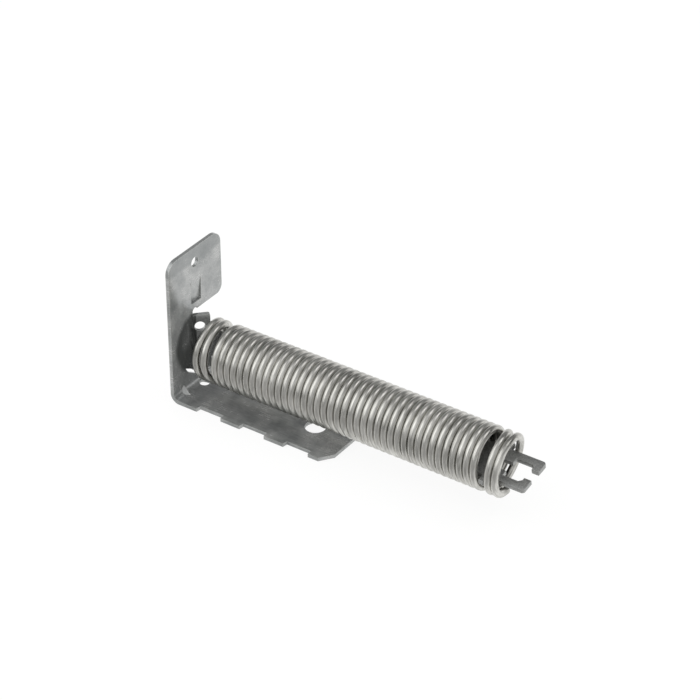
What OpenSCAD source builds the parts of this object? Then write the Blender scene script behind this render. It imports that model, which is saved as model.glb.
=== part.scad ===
// Dishwasher door spring: a close-wound tension spring between a pressed anchor
// bracket and a forked hook plate. The origin is the centre of the hole in the
// bracket's base, on its underside. +X runs along the spring to the hook plate.

/* [Bracket] */
// Thickness of the bracket's sheet
sheet_t = 1.5; // [1:0.1:2]
// Width of the bracket across the spring
bracket_w = 32.4; // [30:0.1:40]
// Height of the end plate above the underside of the base
plate_h = 62.2; // [59:0.1:80]
// Distance from the base hole to the outer face of the end plate
plate_reach = 57; // [54:0.5:70]
// Distance from the base hole to the free end of the base
base_reach = 16.5; // [13:0.5:30]
// Outer radius of the bend between base and end plate
bend_r = 3.8; // [3:0.1:5]
// Radius of the hole in the base
base_hole_r = 4.15; // [3:0.05:5]
// Radius of the small holes in the end plate, the bend and the ear
small_hole_r = 2.1; // [1.5:0.05:2.4]
// Height of the end plate's hole above the underside of the base
plate_hole_z = 55.8; // [55:0.1:56.5]
// Distance from the end plate's outer face to the hole in the bend
bend_hole_x = 4.1; // [3.5:0.1:5]
// Radius of the end plate's top corners
top_corner_r = 5; // [2:0.1:7]
// Radius of the end plate's lower corner beside the slot
low_corner_r = 3.4; // [2:0.1:6]

/* [Edge tabs] */
// Distance from one edge tab to the next
tab_pitch = 20.5; // [19:0.1:21]
// Length of the notch between two tabs
notch_l = 11.5; // [8:0.1:13]
// Depth of the notches
notch_d = 2.2; // [1:0.1:3]
// Distance from the end plate's outer face to the first notch
first_notch = 12.3; // [10:0.1:14]
// Distance by which the notch's first side slants
notch_slant = 0.4; // [0:0.1:1]
// Length of the chamfer at the free corners of the base
chamfer_x = 4; // [2:0.1:6]
// Width of the chamfer at the free corners of the base
chamfer_y = 5.4; // [3:0.1:7]

/* [Anchor tongue] */
// Angle of the tongue to the spring's axis, seen from above
tongue_angle = 45.5; // [43:0.5:50]
// Distance of the tongue's fold from the middle of the bracket
fold_y = 1.9; // [1.5:0.1:2.5]
// Inner radius of the tongue's fold
fold_r = 1.5; // [1:0.1:2]
// Distance from the fold to the outer edge of the tongue's ear
ear_l = 6.35; // [6:0.05:6.8]
// Height of the ear's top edge above the spring's axis
ear_top = 13.9; // [13.5:0.1:15]
// Depth of the ear's bottom edge below the spring's axis
ear_bottom = 10.5; // [9:0.1:11]
// Height of the small hole in the ear above the spring's axis
ear_hole_z = 8.6; // [7:0.1:9.5]
// Distance from the fold to the middle of the hole in the ear
ear_hole_l = 2.2; // [1.8:0.1:3]
// Distance from the fold to the end of the tongue
tongue_l = 19.5; // [18.5:0.1:20.5]
// Height of the tongue at the mouth of the coil
neck_h = 11.6; // [9:0.1:12]
// Length of that part of the tongue, before it narrows to the tip
neck_l = 3; // [2:0.1:4]
// Height of the tongue's tip where it passes between the turns
tip_h = 4; // [3:0.1:5]
// Height of the slot between the ear and the plate above it
slot_h = 2.1; // [1.5:0.1:3]
// Radius of that slot's closed end, beside the fold
slot_end_r = 1.5; // [1.2:0.1:1.8]
// Distance from the middle of the bracket to the tip of the cut under the fold
foot_cut_y = 8.2; // [6:0.1:10]
// Height of that tip above the ear's bottom edge
foot_cut_rise = 3.1; // [2:0.1:4]
// Width of that cut, measured up the plate
foot_cut_w = 2.4; // [1.5:0.1:3]
// Distance past the middle of the bracket where that cut meets the bend
foot_end_y = 1.2; // [0:0.1:2]

/* [Lanced tab] */
// Width of the small tab cut out of the end plate
lance_w = 6.2; // [4:0.1:7]
// Length of the small tab
lance_l = 9.8; // [8:0.1:10.5]
// Distance from the end plate's hole down to the tab's fold
lance_drop = 8; // [6:0.1:9]
// Gap cut round the small tab
lance_gap = 0.3; // [0.2:0.05:0.6]
// Angle by which the small tab leans out of the plate's outer face
lance_lean = 5; // [3:1:12]

/* [Corner rib] */
// Distance from the middle of the bracket to the rib pressed into the corner
rib_y = 9.9; // [8:0.1:11]
// Width of the rib at its foot
rib_w = 4.4; // [3:0.1:6]
// Length that the rib runs along the base and up the end plate
rib_l = 3.2; // [3:0.1:5]

/* [Spring] */
// Thickness of the spring wire
wire_d = 2.9; // [2.5:0.05:2.9]
// Outer diameter of the coil
coil_od = 25; // [24.6:0.1:26]
// Height of the spring's axis above the underside of the base
axis_z = 18.8; // [18:0.1:22]
// Distance from one close turn to the next
pitch = 3; // [3:0.05:3.3]
// Number of close turns
close_turns = 40; // [30:1:50]
// Number of turns behind the bracket's tongue
anchor_turns = 2; // [1.75:0.125:2.25]
// Number of turns in front of the hook plate's teeth
hook_turns = 1.75; // [1.25:0.125:2.5]
// Extra travel of the wire where the hook plate's teeth part its turns
hook_step = 3.5; // [3:0.1:4]

/* [Hook plate] */
// Thickness of the hook plate
hook_t = 2; // [1.5:0.1:2.4]
// Tilt of the hook plate about the spring's axis
hook_tilt = 10; // [5:1:12]
// Distance from the spring's axis down to the middle of the hook plate
hook_drop = 1.4; // [1:0.1:1.8]
// Length of the hook plate inside the coil, up to the teeth
hook_inner_l = 9.9; // [5:0.1:12]
// Length of the hook plate from the teeth to its outer edge
hook_outer_l = 16; // [15.5:0.1:30]
// How far the teeth reach past the middle of the wire
tooth_over = 0.15; // [0:0.05:1]
// Depth of the claws that close the mouth
claw_l = 3.1; // [2:0.1:4]
// Length of the window behind the claws
window_l = 7.7; // [5:0.1:9]
// Half width of the window
window_r = 4.8; // [4:0.1:5.5]
// Corner cut of the window
window_cut = 1.2; // [0.6:0.1:1.8]
// Half width of the mouth and of the slot behind the window
slot_r = 2.4; // [1.5:0.1:2.8]
// Length of the slot behind the window
slot_l = 7; // [5:0.1:9]
// Radius of the hook plate's corners
hook_corner_r = 1.2; // [0.8:0.1:2]

/* [Clearances] */
// Gap between the tongue and the wire on each side of it
tongue_gap = 0.15; // [0.1:0.01:0.3]
// Gap between the hook plate's corners and the inside of the coil
hook_gap = 0.4; // [0.2:0.05:0.6]
// Gap between the teeth and the wire on each side of them
tooth_gap = 0.25; // [0.2:0.05:0.3]

/* [Hidden] */
$fn = 64;
// Overlap of cutters past the faces they cut
cut = 1;
// Rings of the wire in one turn, and sides of its section
rings = 8;
sides = 6;
// Places of the bracket's faces
plate_x0 = -plate_reach;
plate_x1 = plate_x0 + sheet_t;
bend_x = plate_x0 + bend_r;
ear_top_z = axis_z + ear_top;
flag_z = ear_top_z + slot_h;
ear_low_z = axis_z - ear_bottom;
// The tongue folds forward through fold_turn, from fold_start on the plate
fold_turn = 90 - tongue_angle;
fold_run = fold_r * tan(fold_turn / 2);
fold_start = -fold_y - fold_run;
// The coil's mean radius, and the clear radius inside its chords
coil_r = (coil_od - wire_d) / 2;
bore_r = (coil_r - wire_d / 2) * cos(180 / rings);
// Depth to which the wire's chords lie inside the round coil at the edges of the tip
chord_in = tip_h / 2 * tan(180 / rings);
// Distance along the axis from the middle of the tongue to the turn on each side of it
tongue_side = (wire_d / 2 + sheet_t / 2 + tongue_gap) / sin(tongue_angle);
tongue_pitch = 2 * tongue_side + chord_in / tan(tongue_angle);
// Middle of the tongue's sheet where it crosses the coil's mean radius
tongue_x = plate_x1 - sheet_t / 2 * sin(tongue_angle)
    + (coil_r + fold_y - sheet_t / 2 * cos(tongue_angle)) / tan(tongue_angle);
spring_x = tongue_x + tongue_side;
// Extra travel of the wire where it steps over the tongue
anchor_step = tongue_pitch - pitch;

// Smooth step from 0 to 1
function ease(u) = let (v = min(1, max(0, u))) v * v * (3 - 2 * v);
// Share of the anchor step at turn t: the turns behind the tongue bow away from it
function anchor_share(t) = 0.49 * ease((-0.2 - t) / 0.3)
    + ease((-0.5 - t) / 0.4) * (0.2 * pow(cos(360 * t), 2) + 0.31 * pow((1 + cos(360 * t)) / 2, 2));
// Share of the hook step at turn t: past the step the turns lie back on their far lower side
function hook_share(t) = let (u = t - close_turns - 0.85, away = abs(u - round(u)))
    ease((t - close_turns) / 0.3) - (u < -0.5 ? 0 : 0.8 * pow(cos(min(90, 200 * away)), 2));
// Place of the wire's middle along X at turn t, where whole turns are on the far side
function wire_x(t) = spring_x + pitch * t - anchor_step * anchor_share(t) + hook_step * hook_share(t);
function wire_point(t) = [wire_x(t), coil_r * cos(360 * t), axis_z + coil_r * sin(360 * t)];
function unit(v) = v / norm(v);
function wire_way(t) = unit(wire_point(t + 0.001) - wire_point(t - 0.001));
// One ring of the wire's section, moved along the wire by run
function wire_ring(t, run = 0) =
    let (out = [0, cos(360 * t), sin(360 * t)], way = wire_way(t), side = cross(way, out))
    [for (k = [0:sides - 1]) let (a = 360 / sides * (k + 0.5))
        wire_point(t) + run * way + wire_d / 2 * (cos(a) * side + sin(a) * out)];

first_turn = -anchor_turns;
last_turn = close_turns + hook_turns;
wire_rings = concat(
    [wire_ring(first_turn, -wire_d)],
    [for (i = [0:(last_turn - first_turn) * rings]) wire_ring(first_turn + i / rings)],
    [wire_ring(last_turn, wire_d)]);
// Least gap between rings that lie one turn apart
least_gap = min([for (i = [1:len(wire_rings) - rings - 3]) for (j = [i + rings - 1:i + rings + 1])
    for (p = wire_rings[i]) for (q = wire_rings[j]) norm(p - q)]);
echo("Least gap between turns of the spring, in mm", least_gap);

// Points of an arc about a centre
function arc(centre, r, from, to, steps = 8) =
    [for (i = [0:steps]) let (a = from + (to - from) * i / steps) centre + r * [cos(a), sin(a)]];

// Outline of the end plate, seen from the spring: +X is the far side, +Y is up
module plate_outline() {
    half = bracket_w / 2;
    foot_tip = [-foot_cut_y, ear_low_z + foot_cut_rise];
    difference() {
        polygon(concat(
            [[-half, bend_r], [half, bend_r]],
            arc([half - top_corner_r, plate_h - top_corner_r], top_corner_r, 0, 90),
            arc([top_corner_r - half, plate_h - top_corner_r], top_corner_r, 90, 180)));
        // Space that the tongue is folded out of, with the slanted cut under its fold
        polygon(concat(
            [[half + cut, flag_z + low_corner_r]],
            arc([half - low_corner_r, flag_z + low_corner_r], low_corner_r, 0, -90),
            [[fold_start, flag_z],
             [fold_start, ear_low_z],
             foot_tip,
             foot_tip + [foot_cut_w * 0.6, -foot_cut_w],
             [foot_end_y, bend_r],
             [foot_end_y, bend_r - cut],
             [half + cut, bend_r - cut]]));
        translate([fold_start + slot_end_r, ear_top_z + slot_end_r]) circle(r = slot_end_r);
    }
}

module end_plate() {
    lance_top = plate_hole_z - lance_drop;
    difference() {
        translate([plate_x0, 0, 0]) rotate([90, 0, 90]) linear_extrude(sheet_t) plate_outline();
        translate([plate_x0 - cut, 0, plate_hole_z]) rotate([0, 90, 0])
            cylinder(r = small_hole_r, h = sheet_t + 2 * cut);
        translate([plate_x0 - cut, -lance_w / 2, lance_top - lance_l])
            cube([sheet_t + 2 * cut, lance_w, lance_l]);
    }
    // Small tab, sheared free on three sides and leaning out of the outer face
    lean = (lance_l - lance_gap) * tan(lance_lean);
    translate([0, lance_w / 2 - lance_gap, 0]) rotate([90, 0, 0]) linear_extrude(lance_w - 2 * lance_gap)
        polygon([
            [plate_x0, lance_top],
            [plate_x1, lance_top],
            [plate_x1 - lean, lance_top - lance_l + lance_gap],
            [plate_x0 - lean, lance_top - lance_l + lance_gap]]);
}

// Outline of the base, seen from above, with a row of tabs along each edge
module base_outline() {
    half = bracket_w / 2;
    notches = floor((base_reach + plate_reach - first_notch - notch_l - chamfer_x) / tab_pitch);
    difference() {
        translate([bend_x, -half]) square([base_reach - bend_x, bracket_w]);
        for (edge = [-1, 1]) scale([1, edge]) {
            for (i = [0:notches]) translate([plate_x0 + first_notch + i * tab_pitch, half])
                polygon([[0, cut], [0, 0], [notch_slant, -notch_d], [notch_l, -notch_d], [notch_l, cut]]);
            translate([base_reach, half])
                polygon([[-chamfer_x, 0], [0, -chamfer_y], [cut, -chamfer_y], [cut, cut], [-chamfer_x, cut]]);
        }
    }
}

// The bend between base and end plate, a quarter of a tube
module bend() {
    translate([bend_x, bracket_w / 2, bend_r]) rotate([90, 0, 0]) rotate([0, 0, 180])
        rotate_extrude(angle = 90) translate([bend_r - sheet_t, 0]) square([sheet_t, bracket_w]);
}

// Plan of the tongue: a stretch of the end plate, the fold, and the straight run
module tongue_plan() {
    corner = [plate_x1, -fold_y];
    centre = [plate_x1 + fold_r, fold_start];
    way = [cos(tongue_angle), sin(tongue_angle)];
    across = [-sin(tongue_angle), cos(tongue_angle)];
    polygon(concat(
        [[plate_x1, fold_start - cut]],
        arc(centre, fold_r, 180, 180 - fold_turn),
        [corner + tongue_l * way, corner + tongue_l * way + sheet_t * across],
        arc(centre, fold_r + sheet_t, 180 - fold_turn, 180),
        [[plate_x0, fold_start - cut]]));
}

// Outline of the tongue seen square to its face: X is the distance from the fold
// and Y the height above the spring's axis
module tongue_outline() {
    corner = 0.8;
    neck = neck_h / 2;
    tip = tip_h / 2;
    neck_end = ear_l + neck_l;
    root = -fold_r - sheet_t;
    difference() {
        polygon(concat(
            [[root, -ear_bottom], [ear_l, -ear_bottom], [ear_l, -neck], [neck_end, -neck]],
            [[neck_end + (neck - tip), -tip]],
            arc([tongue_l - tip, 0], tip, -90, 90, 12),
            [[neck_end + (neck - tip), tip], [neck_end, neck], [ear_l, neck]],
            arc([ear_l - corner, ear_top - corner], corner, 0, 90, 4),
            [[root, ear_top]]));
        translate([ear_hole_l, ear_hole_z]) circle(r = small_hole_r);
    }
}

// The tongue, folded forward so that it runs through the coil's far side
module tongue() {
    depth = 4 * sheet_t;
    intersection() {
        translate([0, 0, ear_low_z]) linear_extrude(ear_top + ear_bottom) tongue_plan();
        translate([plate_x1, -fold_y, axis_z]) rotate([0, 0, tongue_angle])
            translate([0, depth, 0]) rotate([90, 0, 0]) linear_extrude(2 * depth) tongue_outline();
    }
}

// Rib pressed into the corner between base and end plate
module corner_rib() {
    root = bend_r - (bend_r - sheet_t / 2) * cos(45);
    foot = sheet_t / 2;
    translate([plate_x0, -rib_y, 0])
        polyhedron(
            points = [
                [foot, 0, sheet_t + rib_l + foot],
                [sheet_t + rib_l + foot, 0, foot],
                [root, -rib_w / 2, root],
                [root, rib_w / 2, root]],
            faces = [[0, 1, 2], [0, 3, 1], [0, 2, 3], [1, 3, 2]]);
}

module bracket() {
    color("silver") {
        difference() {
            union() {
                linear_extrude(sheet_t) base_outline();
                bend();
                end_plate();
            }
            translate([0, 0, -cut]) cylinder(r = base_hole_r, h = sheet_t + 2 * cut);
            translate([plate_x0 + bend_hole_x, 0, -cut]) cylinder(r = small_hole_r, h = bend_r + 2 * cut);
        }
        tongue();
        corner_rib();
    }
}

module coil_spring() {
    corners = [for (ring = wire_rings) for (p = ring) p];
    last = len(wire_rings) - 1;
    color("gainsboro") polyhedron(
        points = corners,
        faces = concat(
            [for (i = [0:last - 1]) for (k = [0:sides - 1]) let (n = (k + 1) % sides)
                [i * sides + k, i * sides + n, (i + 1) * sides + n]],
            [for (i = [0:last - 1]) for (k = [0:sides - 1]) let (n = (k + 1) % sides)
                [i * sides + k, (i + 1) * sides + n, (i + 1) * sides + k]],
            [for (k = [1:sides - 2]) [0, k + 1, k]],
            [for (k = [1:sides - 2]) [last * sides, last * sides + k, last * sides + k + 1]]));
}

// Angle about the spring's axis at which the plate's edge on one side reaches v from its middle line
function edge_angle(v) = let (
    y = v * cos(hook_tilt) + hook_drop * sin(hook_tilt),
    z = v * sin(hook_tilt) - hook_drop * cos(hook_tilt),
    a = atan2(z, y)) a < -90 ? a + 360 : a;
// Turn at which the gap beside an edge of the hook plate starts, and that gap's middle along X
function gap_turn(v) = close_turns - (v > 0 ? 0 : 1) + edge_angle(v) / 360;
function gap_x(v) = (wire_x(gap_turn(v)) + wire_x(gap_turn(v) + 1)) / 2;
// Width of the tooth in that gap, with room for the slant of the wire along it
function tooth_w(v) = wire_x(gap_turn(v) + 1) - wire_x(gap_turn(v)) - wire_d - 3 * tooth_gap;

// Outline of the hook plate, seen from above
module hook_outline() {
    reach = coil_r + tooth_over;
    far_x = gap_x(reach);
    near_x = gap_x(-reach);
    middle_x = (far_x + near_x) / 2;
    half = sqrt(pow(bore_r - hook_gap, 2) - pow(hook_drop + hook_t / 2, 2));
    x0 = middle_x - hook_inner_l;
    x1 = middle_x + hook_outer_l;
    r = hook_corner_r;
    window_x1 = x1 - claw_l;
    window_x0 = window_x1 - window_l;
    slot_x0 = window_x0 - slot_l;
    difference() {
        union() {
            translate([x0 + r, -half]) square([x1 - x0 - 2 * r, 2 * half]);
            translate([x0, r - half]) square([x1 - x0, 2 * half - 2 * r]);
            for (x = [x0 + r, x1 - r]) for (y = [r - half, half - r]) translate([x, y]) circle(r = r);
            translate([far_x - tooth_w(reach) / 2, 0]) square([tooth_w(reach), reach]);
            translate([near_x - tooth_w(-reach) / 2, -reach]) square([tooth_w(-reach), reach]);
        }
        translate([slot_x0 + slot_r, -slot_r]) square([x1 + cut - slot_x0 - slot_r, 2 * slot_r]);
        translate([slot_x0 + slot_r, 0]) circle(r = slot_r);
        polygon([
            [window_x0, -window_r],
            [window_x1 - window_cut, -window_r],
            [window_x1, window_cut - window_r],
            [window_x1, window_r - window_cut],
            [window_x1 - window_cut, window_r],
            [window_x0, window_r]]);
    }
}

module hook_plate() {
    color("dimgray") translate([0, 0, axis_z]) rotate([hook_tilt, 0, 0])
        translate([0, 0, -hook_drop - hook_t / 2]) linear_extrude(hook_t) hook_outline();
}

bracket();
coil_spring();
hook_plate();
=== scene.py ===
import math
import bmesh
import bpy
from mathutils.bvhtree import BVHTree
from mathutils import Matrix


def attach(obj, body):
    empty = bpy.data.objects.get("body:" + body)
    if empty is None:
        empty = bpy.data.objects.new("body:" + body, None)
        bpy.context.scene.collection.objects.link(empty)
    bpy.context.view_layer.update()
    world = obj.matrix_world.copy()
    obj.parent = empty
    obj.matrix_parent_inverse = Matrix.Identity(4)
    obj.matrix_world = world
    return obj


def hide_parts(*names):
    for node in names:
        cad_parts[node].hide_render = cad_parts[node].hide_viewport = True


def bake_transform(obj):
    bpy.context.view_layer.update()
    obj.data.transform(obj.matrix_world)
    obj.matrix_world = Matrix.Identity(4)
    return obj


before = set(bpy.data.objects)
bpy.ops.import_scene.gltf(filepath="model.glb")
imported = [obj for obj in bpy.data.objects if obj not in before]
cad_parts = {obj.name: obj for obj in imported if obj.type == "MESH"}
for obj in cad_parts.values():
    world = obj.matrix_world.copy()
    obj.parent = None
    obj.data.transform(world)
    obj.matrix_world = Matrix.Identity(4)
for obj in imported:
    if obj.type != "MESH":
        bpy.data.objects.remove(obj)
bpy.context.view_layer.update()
millimetre = 0.001
white = (1, 1, 1, 1)


def hexToLinear(code, alpha=1.0):
    channels = [int(code[i:i + 2], 16) / 255 for i in (1, 3, 5)]
    linear = [c / 12.92 if c <= 0.04045 else ((c + 0.055) / 1.055) ** 2.4 for c in channels]
    return (*linear, alpha)


def addNode(tree, kind, inputs=None, **settings):
    # inputs maps a socket's name or number to a value or to the socket that feeds it
    node = tree.nodes.new(kind)
    for name, value in settings.items():
        setattr(node, name, value)
    for key, value in (inputs or {}).items():
        if isinstance(value, bpy.types.NodeSocket):
            tree.links.new(value, node.inputs[key])
        else:
            node.inputs[key].default_value = value
    return node


def newMaterial(name):
    material = bpy.data.materials.new(name)
    material.use_nodes = True
    material.node_tree.nodes.clear()
    return material, material.node_tree


# Camera, fitted to the photograph's straight edges and to the coil
cameraView = {
    "place": (0.51746, -0.71889, 0.62852),
    "elevation": 33.76,
    "azimuth": 34.89,
    "roll": -0.25,
    "lens": 146.5,
    "sensorWidth": 36,
    "clipStart": 0.01,
}
camera = bpy.data.objects.new("photoCamera", bpy.data.cameras.new("photoCamera"))
camera.data.lens = cameraView["lens"]
camera.data.sensor_width = cameraView["sensorWidth"]
camera.data.clip_start = cameraView["clipStart"]
camera.location = cameraView["place"]
camera.rotation_euler = (
    math.radians(90 - cameraView["elevation"]), 0, math.radians(cameraView["azimuth"]))
camera.rotation_euler.rotate_axis("Z", math.radians(cameraView["roll"]))
bpy.context.scene.collection.objects.link(camera)
bpy.context.scene.camera = camera
bpy.context.scene.view_settings.view_transform = "Standard"
print("camera ready")


noiseRange = (0.3, 0.7)  # most of a noise pattern's values lie in it
wearRange = (0.995, 0.9)  # cosine of the angle between the true and the rounded normal
wearSamples = 6


def setTone(ramp, values):
    # The ramp goes from the dark to the light colour over toneRange
    for number, name in enumerate(("dark", "light")):
        ramp.color_ramp.elements[number].position = values["toneRange"][number]
        ramp.color_ramp.elements[number].color = hexToLinear(values[name])


def rubEdges(tree, colour, values):
    # Rubbed corners: a rounded normal differs from the true one only near an edge
    rounded = addNode(tree, "ShaderNodeBevel", {
        "Radius": values["edgeWidth"] * millimetre}, samples=wearSamples)
    true = addNode(tree, "ShaderNodeNewGeometry").outputs["Normal"]
    facing = addNode(tree, "ShaderNodeVectorMath", {
        0: rounded.outputs[0], 1: true}, operation="DOT_PRODUCT")
    wear = addNode(tree, "ShaderNodeMapRange", {
        "Value": facing.outputs["Value"], "From Min": wearRange[0], "From Max": wearRange[1]})
    rubbed = addNode(tree, "ShaderNodeMix", {
        "Factor": wear.outputs["Result"], "A": colour,
        "B": hexToLinear(values["edge"])}, data_type="RGBA")
    return rubbed.outputs["Result"]


def finishMetal(tree, colour, pattern, relief, values):
    # Roughness follows the pattern and a fine bump follows the relief
    rough = addNode(tree, "ShaderNodeMapRange", {
        "Value": pattern, "From Min": noiseRange[0], "From Max": noiseRange[1],
        "To Min": values["roughness"][0], "To Max": values["roughness"][1]})
    bump = addNode(tree, "ShaderNodeBump", {
        "Strength": values["bumpStrength"], "Distance": values["bump"] * millimetre,
        "Height": relief})
    metal = addNode(tree, "ShaderNodeBsdfPrincipled", {
        "Base Color": colour, "Metallic": values["metallic"],
        "Roughness": rough.outputs["Result"], "Normal": bump.outputs["Normal"]})
    addNode(tree, "ShaderNodeOutputMaterial", {"Surface": metal.outputs[0]})


# Zinc plated cold rolled sheet: satin, slightly mottled, with fine rolling lines and rubbed edges
zincSheet = {
    "light": "#b7b8b7",
    "dark": "#8c8f8f",
    "toneRange": (0.38, 0.6),
    "edge": "#bcbdba",
    "edgeWidth": 0.35,  # mm
    # Painted reflection and painted shade of the coil's open end, on the end plate's inner face
    "paintedReflection": "#5e605f",
    "paintedReflectionCentre": (-55.5, 0.0, 21.0),  # mm, on the end plate's inner face
    "paintedReflectionReach": (12.2, 15.0),  # mm
    "paintedReflectionDepth": 0.6,  # mm
    # Painted reflection: a darker band along the top of the end plate
    "paintedBandHeight": (55.4, 56.8),  # mm
    "paintedBandShare": 0.6,
    "metallic": 0.6,
    "speckLight": "#cacac8",
    "speckSpacing": 1.3,  # mm
    "speckSize": 0.3,  # mm
    "speckCore": 0.5,  # share of a speck's radius that is wholly bare
    "speckPatch": 11.0,  # mm
    "patchRange": (0.52, 0.66),
    "mottleSize": 9.0,  # mm
    "rollingLine": 0.35,  # mm, coarser than the real 0.05 mm so that it shows
    "rollingLength": 14.0,  # times the line's width
    "rollingShare": 0.35,
    "roughness": (0.2, 0.3),
    "bump": 0.02,  # mm
    "bumpStrength": 0.25,
}


def paintLightOnPlate(tree, place, colour, values):
    # Painted reflection: a darker band along the top of the end plate
    parts = addNode(tree, "ShaderNodeSeparateXYZ", {0: place}).outputs
    reflectionBand = addNode(tree, "ShaderNodeMapRange", {
        "Value": parts["Z"], "From Min": values["paintedBandHeight"][0] * millimetre,
        "From Max": values["paintedBandHeight"][1] * millimetre, "To Max": values["paintedBandShare"]})
    withReflectionBand = addNode(tree, "ShaderNodeMix", {
        "Factor": reflectionBand.outputs[0], "A": colour, "B": hexToLinear(values["dark"])},
        data_type="RGBA")
    # A dark patch on its inner face: painted reflection and painted shade of the coil's open end
    centre = [c * millimetre for c in values["paintedReflectionCentre"]]
    fromCentre = addNode(tree, "ShaderNodeVectorMath", {
        0: place, 1: centre}, operation="DISTANCE")
    near = addNode(tree, "ShaderNodeMapRange", {
        "Value": fromCentre.outputs["Value"], "From Min": values["paintedReflectionReach"][1] * millimetre,
        "From Max": values["paintedReflectionReach"][0] * millimetre}, interpolation_type="SMOOTHSTEP")
    inner = addNode(tree, "ShaderNodeMath", {
        0: parts["X"], 1: centre[0], 2: values["paintedReflectionDepth"] * millimetre},
        operation="COMPARE")
    share = addNode(tree, "ShaderNodeMath", {
        0: near.outputs[0], 1: inner.outputs[0]}, operation="MULTIPLY")
    withPaintedLight = addNode(tree, "ShaderNodeMix", {
        "Factor": share.outputs[0], "A": withReflectionBand.outputs["Result"],
        "B": hexToLinear(values["paintedReflection"])}, data_type="RGBA")
    return withPaintedLight.outputs["Result"]


def addSpecks(tree, place, colour, values):
    # Tiny bare specks in the patches where the sheet was scuffed
    cells = addNode(tree, "ShaderNodeTexVoronoi", {
        "Vector": place, "Scale": 1 / (values["speckSpacing"] * millimetre)})
    reach = values["speckSize"] / values["speckSpacing"]
    dot = addNode(tree, "ShaderNodeMapRange", {
        "Value": cells.outputs["Distance"], "From Min": reach,
        "From Max": reach * values["speckCore"]})
    scuffed = addNode(tree, "ShaderNodeTexNoise", {
        "Vector": place, "Scale": 1 / (values["speckPatch"] * millimetre), "Detail": 3.0})
    patch = addNode(tree, "ShaderNodeMapRange", {
        "Value": scuffed.outputs["Fac"], "From Min": values["patchRange"][0],
        "From Max": values["patchRange"][1]})
    speck = addNode(tree, "ShaderNodeMath", {
        0: dot.outputs["Result"], 1: patch.outputs["Result"]}, operation="MULTIPLY")
    specked = addNode(tree, "ShaderNodeMix", {
        "Factor": speck.outputs[0], "A": colour, "B": hexToLinear(values["speckLight"])},
        data_type="RGBA")
    return specked.outputs["Result"]


def makeZincSheet(values):
    material, tree = newMaterial("zincPlatedSheet")
    place = addNode(tree, "ShaderNodeTexCoord").outputs["Object"]
    mottle = addNode(tree, "ShaderNodeTexNoise", {
        "Vector": place, "Scale": 1 / (values["mottleSize"] * millimetre),
        "Detail": 5.0, "Roughness": 0.6})
    # The sheet was rolled along X, so a line is long there and narrow across
    length = values["rollingLength"]
    stretched = addNode(tree, "ShaderNodeMapping", {
        "Vector": place, "Scale": (1.0, length, length)})
    lines = addNode(tree, "ShaderNodeTexNoise", {
        "Vector": stretched.outputs[0],
        "Scale": 1 / (length * values["rollingLine"] * millimetre),
        "Detail": 3.0, "Roughness": 0.55})
    both = addNode(tree, "ShaderNodeMix", {
        "Factor": values["rollingShare"], "A": mottle.outputs["Fac"],
        "B": lines.outputs["Fac"]}).outputs["Result"]
    tone = addNode(tree, "ShaderNodeValToRGB", {"Fac": both})
    setTone(tone, values)
    # Painted reflection and painted shade on the end plate, over the sheet's own tone
    withPaintedLight = paintLightOnPlate(tree, place, tone.outputs["Color"], values)
    rubbed = rubEdges(tree, withPaintedLight, values)
    colour = addSpecks(tree, place, rubbed, values)
    finishMetal(tree, colour, both, both, values)
    return material


# The sheet's sheared edge: a duller, greenish steel with streaks across the thickness
shearedEdge = {
    "light": "#9a9f96",
    "dark": "#6f746b",
    "toneRange": (0.35, 0.65),
    "metallic": 1.0,
    "streak": 0.3,  # mm
    "roughness": 0.3,
}


def makeShearedEdge(values):
    material, tree = newMaterial("shearedSteelEdge")
    place = addNode(tree, "ShaderNodeTexCoord").outputs["Object"]
    streaks = addNode(tree, "ShaderNodeTexNoise", {
        "Vector": place, "Scale": 1 / (values["streak"] * millimetre), "Detail": 3.0})
    tone = addNode(tree, "ShaderNodeValToRGB", {"Fac": streaks.outputs["Fac"]})
    setTone(tone, values)
    metal = addNode(tree, "ShaderNodeBsdfPrincipled", {
        "Base Color": tone.outputs["Color"], "Metallic": values["metallic"],
        "Roughness": values["roughness"]})
    addNode(tree, "ShaderNodeOutputMaterial", {"Surface": metal.outputs[0]})
    return material


# Cold drawn spring wire: bright, slightly warm, with fine lines drawn along the wire
drawnWire = {
    "light": "#dad9d4",
    "dark": "#908f8a",
    "toneRange": (0.3, 0.62),
    "metallic": 1.0,
    "lineWidth": 0.25,  # mm, coarser than the real drawing marks so that it shows
    "lineSqueeze": 0.06,  # a line's width for its length round the axis
    "lineShare": 0.6,
    "patchSize": 9.0,  # mm
    "roughness": (0.25, 0.37),
    "bump": 0.022,  # mm
    "bumpStrength": 0.3,
}


def makeDrawnWire(values):
    material, tree = newMaterial("drawnSpringWire")
    place = addNode(tree, "ShaderNodeTexCoord").outputs["Object"]
    patches = addNode(tree, "ShaderNodeTexNoise", {
        "Vector": place, "Scale": 1 / (values["patchSize"] * millimetre),
        "Detail": 4.0}).outputs["Fac"]
    # The wire runs round the axis, so lines along it are narrow only along X
    squeeze = values["lineSqueeze"]
    squeezed = addNode(tree, "ShaderNodeMapping", {
        "Vector": place, "Scale": (1.0, squeeze, squeeze)})
    lines = addNode(tree, "ShaderNodeTexNoise", {
        "Vector": squeezed.outputs[0], "Scale": 1 / (values["lineWidth"] * millimetre),
        "Detail": 2.0}).outputs["Fac"]
    both = addNode(tree, "ShaderNodeMix", {
        "Factor": values["lineShare"], "A": patches, "B": lines})
    tone = addNode(tree, "ShaderNodeValToRGB", {"Fac": both.outputs["Result"]})
    setTone(tone, values)
    finishMetal(tree, tone.outputs["Color"], patches, lines, values)
    return material


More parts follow.
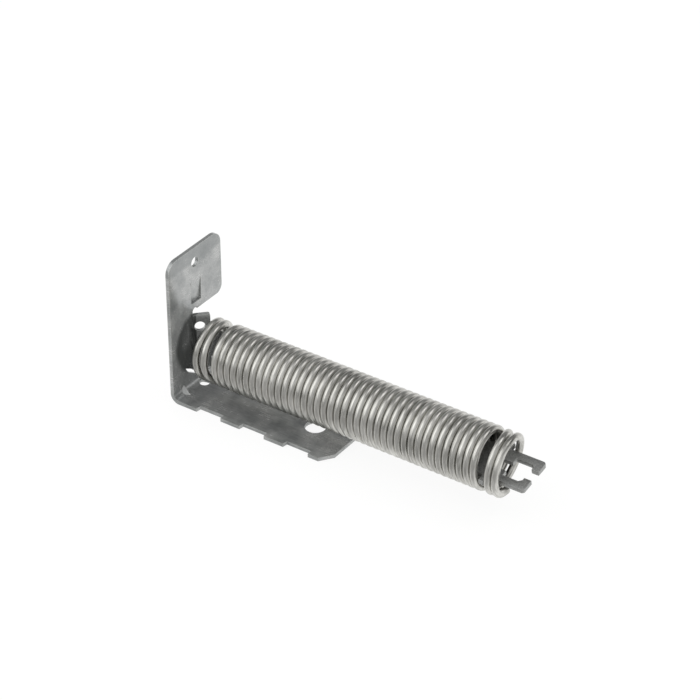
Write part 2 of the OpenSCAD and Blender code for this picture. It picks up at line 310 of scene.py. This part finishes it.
# Tumbled and plated blanked steel: duller than the bracket, with paler sheared edges
dullPlate = {
    "light": "#bbbcba",
    "dark": "#999a99",
    "toneRange": (0.35, 0.65),
    "edge": "#b0b0ac",
    "edgeWidth": 0.3,  # mm
    "metallic": 1.0,
    "grainSize": 0.5,  # mm
    "roughness": (0.42, 0.58),
    "bump": 0.03,  # mm
    "bumpStrength": 0.35,
}


def makeDullPlate(values):
    material, tree = newMaterial("dullPlatedSteel")
    place = addNode(tree, "ShaderNodeTexCoord").outputs["Object"]
    grain = addNode(tree, "ShaderNodeTexNoise", {
        "Vector": place, "Scale": 1 / (values["grainSize"] * millimetre),
        "Detail": 6.0}).outputs["Fac"]
    tone = addNode(tree, "ShaderNodeValToRGB", {"Fac": grain})
    setTone(tone, values)
    colour = rubEdges(tree, tone.outputs["Color"], values)
    finishMetal(tree, colour, grain, grain, values)
    return material


zincMaterial = makeZincSheet(zincSheet)
edgeMaterial = makeShearedEdge(shearedEdge)
wireMaterial = makeDrawnWire(drawnWire)
plateMaterial = makeDullPlate(dullPlate)
print("materials ready")


def asPlainMesh(piece, name):
    # The evaluated mesh takes the place of the modifiers
    evaluated = piece.evaluated_get(bpy.context.evaluated_depsgraph_get())
    mesh = bpy.data.meshes.new_from_object(evaluated)
    mesh.name = name
    piece.modifiers.clear()
    piece.data = mesh
    return piece


# How the copies of the pressed pieces are cleaned and rounded
sheetEdges = {
    "weldDistance": 0.002 * millimetre,
    "flatAngle": 0.6,  # degrees
    "cutDepth": 1.4,  # times the thickness, past which a face is a cut edge
    "skinDepth": 0.01 * millimetre,
    "sharpAngle": 40,  # degrees
    "segments": 3,
}


def edgeBrokenCopy(nodeName, name, sheetMaterial, cutMaterial, values):
    # A merged copy of the CAD node whose sharp edges are rounded as sheared and tumbled sheet is
    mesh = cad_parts[nodeName].data.copy()
    mesh.name = name
    bm = bmesh.new()
    bm.from_mesh(mesh)
    bmesh.ops.remove_doubles(bm, verts=bm.verts, dist=sheetEdges["weldDistance"])
    bmesh.ops.dissolve_limit(
        bm, angle_limit=math.radians(sheetEdges["flatAngle"]), verts=bm.verts, edges=bm.edges)
    solid = BVHTree.FromBMesh(bm)
    cutDepth = sheetEdges["cutDepth"] * values["thickness"]
    for face in bm.faces:
        face.smooth = True
        # Inwards from a rolled face the other side is one thickness away, from a cut edge it is far
        start = face.calc_center_median() - sheetEdges["skinDepth"] * face.normal
        depth = solid.ray_cast(start, -face.normal)[3]
        face.material_index = int(depth is None or depth > cutDepth)
    bm.to_mesh(mesh)
    bm.free()
    mesh.materials.clear()
    mesh.materials.append(sheetMaterial)
    mesh.materials.append(cutMaterial)
    piece = bpy.data.objects.new(name, mesh)
    bpy.context.scene.collection.objects.link(piece)
    bevel = piece.modifiers.new("brokenEdges", "BEVEL")
    bevel.width = values["edgeRadius"]
    bevel.segments = sheetEdges["segments"]
    bevel.limit_method = "ANGLE"
    bevel.angle_limit = math.radians(sheetEdges["sharpAngle"])
    bevel.use_clamp_overlap = True
    bevel.harden_normals = True
    return asPlainMesh(piece, name)


bracketSheet = {"thickness": 1.5 * millimetre, "edgeRadius": 0.16 * millimetre}
hookFork = {"thickness": 2.0 * millimetre, "edgeRadius": 0.2 * millimetre}

bracket = edgeBrokenCopy("bracket", "bracketSheet", zincMaterial, edgeMaterial, bracketSheet)
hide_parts("bracket")
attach(bracket, "anchor")
print("bracket ready")

fork = edgeBrokenCopy("hook_plate", "hookFork", plateMaterial, plateMaterial, hookFork)
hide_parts("hook_plate")
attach(fork, "hook")
print("hook plate ready")


# The coil: one round wire, close wound, opened over the tongue and over the hook plate's teeth
springCoil = {
    "Wire Radius": 1.48 * millimetre,
    "Coil Radius": 11.02 * millimetre,
    "Axis Height": 18.8 * millimetre,
    "Start X": -40.51 * millimetre,
    "Pitch": 3.0 * millimetre,
    "First Turn": -2.04,
    "Last Turn": 41.77,
    "Close Turns": 40.0,
    "Anchor Step": 4.45 * millimetre,
    "Hook Step": 3.5 * millimetre,
    "Steps Per Turn": 56,
    "Sides": 18,
}

# The course of the two steps: where each happens in turns, and its parts as shares of its length
coilSteps = {
    "backTurns": (-0.2, -0.5),
    "backShare": 0.49,
    "bowTurns": (-0.5, -0.9),
    "sideBow": 0.2,
    "farBow": 0.31,
    "onTurns": (0.0, 0.3),
    "lowestTurn": 0.85,
    "layReach": 0.45,
    "layShare": -0.8,
    "layStart": -0.5,
}


def makeCoilTree(values, steps, material):
    tree = bpy.data.node_groups.new("closeWoundCoil", "GeometryNodeTree")
    for name, value in values.items():
        kind = "NodeSocketInt" if isinstance(value, int) else "NodeSocketFloat"
        tree.interface.new_socket(name, in_out="INPUT", socket_type=kind)
    tree.interface.new_socket("Geometry", in_out="OUTPUT", socket_type="NodeSocketGeometry")
    given = addNode(tree, "NodeGroupInput").outputs
    turns = addNode(tree, "ShaderNodeMath", {
        0: given["Last Turn"], 1: given["First Turn"]}, operation="SUBTRACT")
    count = addNode(tree, "ShaderNodeMath", {
        0: turns.outputs[0], 1: given["Steps Per Turn"]}, operation="MULTIPLY")
    line = addNode(tree, "GeometryNodeMeshLine", {"Count": count.outputs[0]}, mode="OFFSET")
    index = addNode(tree, "GeometryNodeInputIndex")
    passed = addNode(tree, "ShaderNodeMath", {
        0: index.outputs[0], 1: given["Steps Per Turn"]}, operation="DIVIDE")
    turn = addNode(tree, "ShaderNodeMath", {
        0: passed.outputs[0], 1: given["First Turn"]}).outputs[0]
    angle = addNode(tree, "ShaderNodeMath", {
        0: turn, 1: 2 * math.pi}, operation="MULTIPLY").outputs[0]
    cosine = addNode(tree, "ShaderNodeMath", {0: angle}, operation="COSINE").outputs[0]
    sine = addNode(tree, "ShaderNodeMath", {0: angle}, operation="SINE").outputs[0]
    # Behind the tongue the wire steps back, and bows away from the tongue on the far side
    stepBack = addNode(tree, "ShaderNodeMapRange", {
        "Value": turn, "From Min": steps["backTurns"][0], "From Max": steps["backTurns"][1],
        "To Min": 0.0, "To Max": steps["backShare"]}, interpolation_type="SMOOTHSTEP").outputs[0]
    bowed = addNode(tree, "ShaderNodeMapRange", {
        "Value": turn, "From Min": steps["bowTurns"][0], "From Max": steps["bowTurns"][1]},
        interpolation_type="SMOOTHSTEP").outputs[0]
    sideways = addNode(tree, "ShaderNodeMath", {0: cosine, 1: cosine}, operation="MULTIPLY")
    sideBow = addNode(tree, "ShaderNodeMath", {
        0: sideways.outputs[0], 1: steps["sideBow"]}, operation="MULTIPLY")
    farSide = addNode(tree, "ShaderNodeMath", {
        0: cosine, 1: 0.5, 2: 0.5}, operation="MULTIPLY_ADD")
    farSquare = addNode(tree, "ShaderNodeMath", {
        0: farSide.outputs[0], 1: 2.0}, operation="POWER")
    bow = addNode(tree, "ShaderNodeMath", {
        0: farSquare.outputs[0], 1: steps["farBow"], 2: sideBow.outputs[0]},
        operation="MULTIPLY_ADD")
    anchorShare = addNode(tree, "ShaderNodeMath", {
        0: bowed, 1: bow.outputs[0], 2: stepBack}, operation="MULTIPLY_ADD")
    # Over the teeth it steps forward, and past them the turns lie back on their far lower side
    pastClose = addNode(tree, "ShaderNodeMath", {
        0: turn, 1: given["Close Turns"]}, operation="SUBTRACT").outputs[0]
    stepOn = addNode(tree, "ShaderNodeMapRange", {
        "Value": pastClose, "From Min": steps["onTurns"][0], "From Max": steps["onTurns"][1]},
        interpolation_type="SMOOTHSTEP")
    fromLowest = addNode(tree, "ShaderNodeMath", {
        0: pastClose, 1: steps["lowestTurn"]}, operation="SUBTRACT").outputs[0]
    away = addNode(tree, "ShaderNodeMath", {0: fromLowest, 1: 0.5}, operation="PINGPONG")
    quarter = addNode(tree, "ShaderNodeMapRange", {
        "Value": away.outputs[0], "From Max": steps["layReach"], "To Max": math.pi / 2})
    dip = addNode(tree, "ShaderNodeMath", {
        0: quarter.outputs[0]}, operation="COSINE").outputs[0]
    dipSquare = addNode(tree, "ShaderNodeMath", {0: dip, 1: dip}, operation="MULTIPLY")
    pastStep = addNode(tree, "ShaderNodeMath", {
        0: fromLowest, 1: steps["layStart"]}, operation="GREATER_THAN")
    layBack = addNode(tree, "ShaderNodeMath", {
        0: dipSquare.outputs[0], 1: pastStep.outputs[0]}, operation="MULTIPLY")
    hookShare = addNode(tree, "ShaderNodeMath", {
        0: layBack.outputs[0], 1: steps["layShare"], 2: stepOn.outputs[0]},
        operation="MULTIPLY_ADD")
    alongAxis = addNode(tree, "ShaderNodeMath", {
        0: turn, 1: given["Pitch"], 2: given["Start X"]}, operation="MULTIPLY_ADD")
    back = addNode(tree, "ShaderNodeMath", {
        0: anchorShare.outputs[0], 1: given["Anchor Step"]}, operation="MULTIPLY")
    held = addNode(tree, "ShaderNodeMath", {
        0: alongAxis.outputs[0], 1: back.outputs[0]}, operation="SUBTRACT")
    x = addNode(tree, "ShaderNodeMath", {
        0: hookShare.outputs[0], 1: given["Hook Step"], 2: held.outputs[0]},
        operation="MULTIPLY_ADD")
    y = addNode(tree, "ShaderNodeMath", {0: cosine, 1: given["Coil Radius"]}, operation="MULTIPLY")
    z = addNode(tree, "ShaderNodeMath", {
        0: sine, 1: given["Coil Radius"], 2: given["Axis Height"]}, operation="MULTIPLY_ADD")
    point = addNode(tree, "ShaderNodeCombineXYZ", {
        0: x.outputs[0], 1: y.outputs[0], 2: z.outputs[0]})
    placed = addNode(tree, "GeometryNodeSetPosition", {
        "Geometry": line.outputs[0], "Position": point.outputs[0]})
    path = addNode(tree, "GeometryNodeMeshToCurve", {"Mesh": placed.outputs[0]})
    section = addNode(tree, "GeometryNodeCurvePrimitiveCircle", {
        "Resolution": given["Sides"], "Radius": given["Wire Radius"]})
    wire = addNode(tree, "GeometryNodeCurveToMesh", {
        "Curve": path.outputs[0], "Profile Curve": section.outputs[0], "Fill Caps": True})
    smooth = addNode(tree, "GeometryNodeSetShadeSmooth", {"Geometry": wire.outputs[0]})
    real = addNode(tree, "GeometryNodeRealizeInstances", {"Geometry": smooth.outputs[0]})
    dressed = addNode(tree, "GeometryNodeSetMaterial", {
        "Geometry": real.outputs[0], "Material": material})
    addNode(tree, "NodeGroupOutput", {0: dressed.outputs[0]})
    return tree


def applyTree(name, tree, values):
    piece = bpy.data.objects.new(name, bpy.data.meshes.new(name))
    bpy.context.scene.collection.objects.link(piece)
    modifier = piece.modifiers.new(name, "NODES")
    modifier.node_group = tree
    for socket in tree.interface.items_tree:
        if socket.in_out == "INPUT":
            modifier[socket.identifier] = values[socket.name]
    return asPlainMesh(piece, name)


coil = applyTree("springCoil", makeCoilTree(springCoil, coilSteps, wireMaterial), springCoil)
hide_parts("coil_spring")
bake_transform(coil)
print("spring ready")


# Pale floor and white surroundings, seen by the camera and in the metal
studio = {
    "floor": "#f4f4f2",
    "floorSize": 3.0,
    "floorHeight": -0.0002,
    "floorGlow": 0.9,
    "ambient": 1.05,
    "nearSide": 0.4,
    "nearSideRange": (0.1, 0.75),  # how far a reflection looks back past the camera
    "nearCeiling": 0.75,
    "farCeiling": 0.2,
    "ceilingRange": (0.5, -0.5),  # from the camera's side to the far one
    "ceilingStart": (-0.05, -0.35),  # from the horizon up
}

# Two softboxes that look at the middle of the object, with their sizes in metres and power in watts
lightTarget = (0.02, 0, 0.03)
softboxes = {
    "keySoftbox": {"place": (-0.42, -0.5, 0.63), "size": (1.0, 1.1), "power": 2.9},
    "topSoftbox": {"place": (0.3, 0.4, 0.9), "size": (0.5, 0.5), "power": 1.2},
}


def seenDirectly(tree):
    # 1 for what the camera, a reflection or glass looks at, 0 for what only lights the object
    path = addNode(tree, "ShaderNodeLightPath").outputs
    glossy = addNode(tree, "ShaderNodeMath", {
        0: path["Is Camera Ray"], 1: path["Is Glossy Ray"]}, operation="MAXIMUM")
    either = addNode(tree, "ShaderNodeMath", {
        0: glossy.outputs[0], 1: path["Is Transmission Ray"]}, operation="MAXIMUM")
    return either.outputs[0]


def dimNearSide(tree, values):
    # 1 for what the camera looks at, less where a reflection looks back past the camera
    way = addNode(tree, "ShaderNodeNewGeometry").outputs["Incoming"]
    sideways = addNode(tree, "ShaderNodeSeparateXYZ", {0: way}).outputs["Y"]
    dim = addNode(tree, "ShaderNodeMapRange", {
        "Value": sideways, "From Min": values["nearSideRange"][0],
        "From Max": values["nearSideRange"][1], "To Min": 1.0, "To Max": values["nearSide"]},
        interpolation_type="SMOOTHSTEP")
    direct = addNode(tree, "ShaderNodeLightPath").outputs["Is Camera Ray"]
    level = addNode(tree, "ShaderNodeMix", {"Factor": direct, "A": dim.outputs[0], "B": 1.0})
    return level.outputs["Result"]


def makeWorld(values):
    world = bpy.data.worlds.new("whiteStudio")
    world.use_nodes = True
    tree = world.node_tree
    tree.nodes.clear()
    # White at the horizon, where it is the background, and dimmer towards the studio's ceiling,
    # above all on the side away from the camera
    way = addNode(tree, "ShaderNodeNewGeometry").outputs["Incoming"]
    parts = addNode(tree, "ShaderNodeSeparateXYZ", {0: way}).outputs
    ceiling = addNode(tree, "ShaderNodeMapRange", {
        "Value": parts["Y"], "From Min": values["ceilingRange"][0],
        "From Max": values["ceilingRange"][1], "To Min": values["nearCeiling"],
        "To Max": values["farCeiling"]}, interpolation_type="SMOOTHSTEP")
    seen = addNode(tree, "ShaderNodeMapRange", {
        "Value": parts["Z"], "From Min": values["ceilingStart"][0],
        "From Max": values["ceilingStart"][1], "To Min": dimNearSide(tree, values),
        "To Max": ceiling.outputs[0]}, interpolation_type="SMOOTHSTEP")
    strength = addNode(tree, "ShaderNodeMapRange", {
        "Value": seenDirectly(tree), "To Min": values["ambient"], "To Max": seen.outputs[0]})
    sky = addNode(tree, "ShaderNodeBackground", {
        "Color": white, "Strength": strength.outputs[0]})
    addNode(tree, "ShaderNodeOutputWorld", {"Surface": sky.outputs[0]})
    bpy.context.scene.world = world


def makeFloor(values):
    size = values["floorSize"]
    mesh = bpy.data.meshes.new("floor")
    corners = [(-size, -size), (size, -size), (size, size), (-size, size)]
    mesh.from_pydata([(x, y, values["floorHeight"]) for x, y in corners], [], [(0, 1, 2, 3)])
    floor = bpy.data.objects.new("floor", mesh)
    bpy.context.scene.collection.objects.link(floor)
    material, tree = newMaterial("matteFloorPaper")
    paper = addNode(tree, "ShaderNodeBsdfDiffuse", {"Color": hexToLinear(values["floor"])})
    glow = addNode(tree, "ShaderNodeEmission", {
        "Color": white, "Strength": dimNearSide(tree, values)})
    share = addNode(tree, "ShaderNodeMath", {
        0: seenDirectly(tree), 1: values["floorGlow"]}, operation="MULTIPLY")
    both = addNode(tree, "ShaderNodeMixShader", {
        0: share.outputs[0], 1: paper.outputs[0], 2: glow.outputs[0]})
    addNode(tree, "ShaderNodeOutputMaterial", {"Surface": both.outputs[0]})
    mesh.materials.append(material)


def addAreaLight(name, values, target):
    light = bpy.data.lights.new(name, "AREA")
    light.shape = "RECTANGLE"
    light.size, light.size_y = values["size"]
    light.energy = values["power"]
    lamp = bpy.data.objects.new(name, light)
    lamp.location = values["place"]
    way = [t - p for t, p in zip(target, values["place"])]
    flat = math.hypot(way[0], way[1])
    lamp.rotation_euler = (math.atan2(flat, -way[2]), 0, math.atan2(way[1], way[0]) - math.pi / 2)
    bpy.context.scene.collection.objects.link(lamp)


makeWorld(studio)
makeFloor(studio)
for boxName, boxValues in softboxes.items():
    addAreaLight(boxName, boxValues, lightTarget)
print("studio ready")
